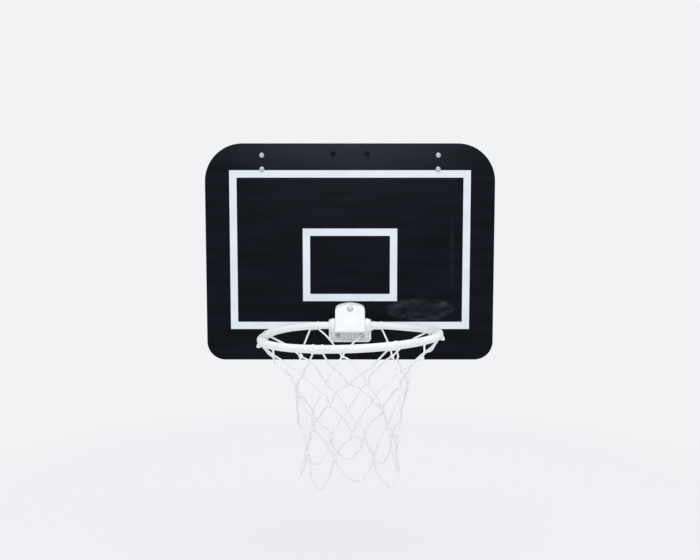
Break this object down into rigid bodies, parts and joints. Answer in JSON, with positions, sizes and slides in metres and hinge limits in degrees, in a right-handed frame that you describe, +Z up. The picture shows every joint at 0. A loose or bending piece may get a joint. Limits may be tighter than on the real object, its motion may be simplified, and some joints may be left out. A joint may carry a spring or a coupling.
{
  "type": "mini basketball backboard",
  "caption": "Flat over-the-door basketball backboard with printed target lines, door hooks, a sprung breakaway rim in a hooded bracket, and a knotted cord net.",
  "frame": {"origin": "midway between the two top screw holes, on the board's back face", "axes": "+X to the right seen from the front, +Y to the back (towards the door), +Z up"},
  "size_m": [0.4064, 0.3207, 0.4332],
  "materials": {
    "board_black": "satin black sheet",
    "line_white": "printed white",
    "hook_black": "black powder coat",
    "rivet_aluminium": "plain aluminium",
    "foam_black": "closed-cell foam",
    "bracket_white": "moulded white",
    "bush_white": "moulded white",
    "core_grey": "moulded grey",
    "rim_white": "white powder coat",
    "net_cord": "twisted white cord",
    "fastener_steel": "zinc-plated",
    "screw_grey": "zinc flake",
    "spring_steel": "drawn wire"
  },
  "bodies": {
    "board": {"backboard": "board_black", "border_line": "line_white", "target_line": "line_white", "door_hook_left": "hook_black", "strap_pad_left": "foam_black", "hook_pad_left": "foam_black", "bumper_left": "foam_black", "door_hook_right": "hook_black", "strap_pad_right": "foam_black", "hook_pad_right": "foam_black", "bumper_right": "foam_black", "hook_rivets": "rivet_aluminium", "base_plate": "bracket_white", "hood": "bracket_white", "rim_bush_left": "bush_white", "rim_bush_right": "bush_white", "return_spring_left": "spring_steel", "return_spring_right": "spring_steel", "base_screws": "screw_grey", "hood_screw": "fastener_steel", "fixing_washers": "fastener_steel", "fixing_nuts": "fastener_steel"},
    "rim": {"rim_ring": "rim_white", "hinge_core": "core_grey", "core_pins": "fastener_steel", "net": "net_cord"}
  },
  "joints": [
    {"name": "rim_breakaway", "type": "hinge", "parent": "board", "child": "rim", "pos_m": [0, -0.0355, -0.23695], "axis": [1, 0, 0], "range_deg": [0, 20], "stiffness_Nm_per_rad": 3, "springref_deg": -28.65, "deforming": ["return_spring_left", "return_spring_right"]}
  ]
}
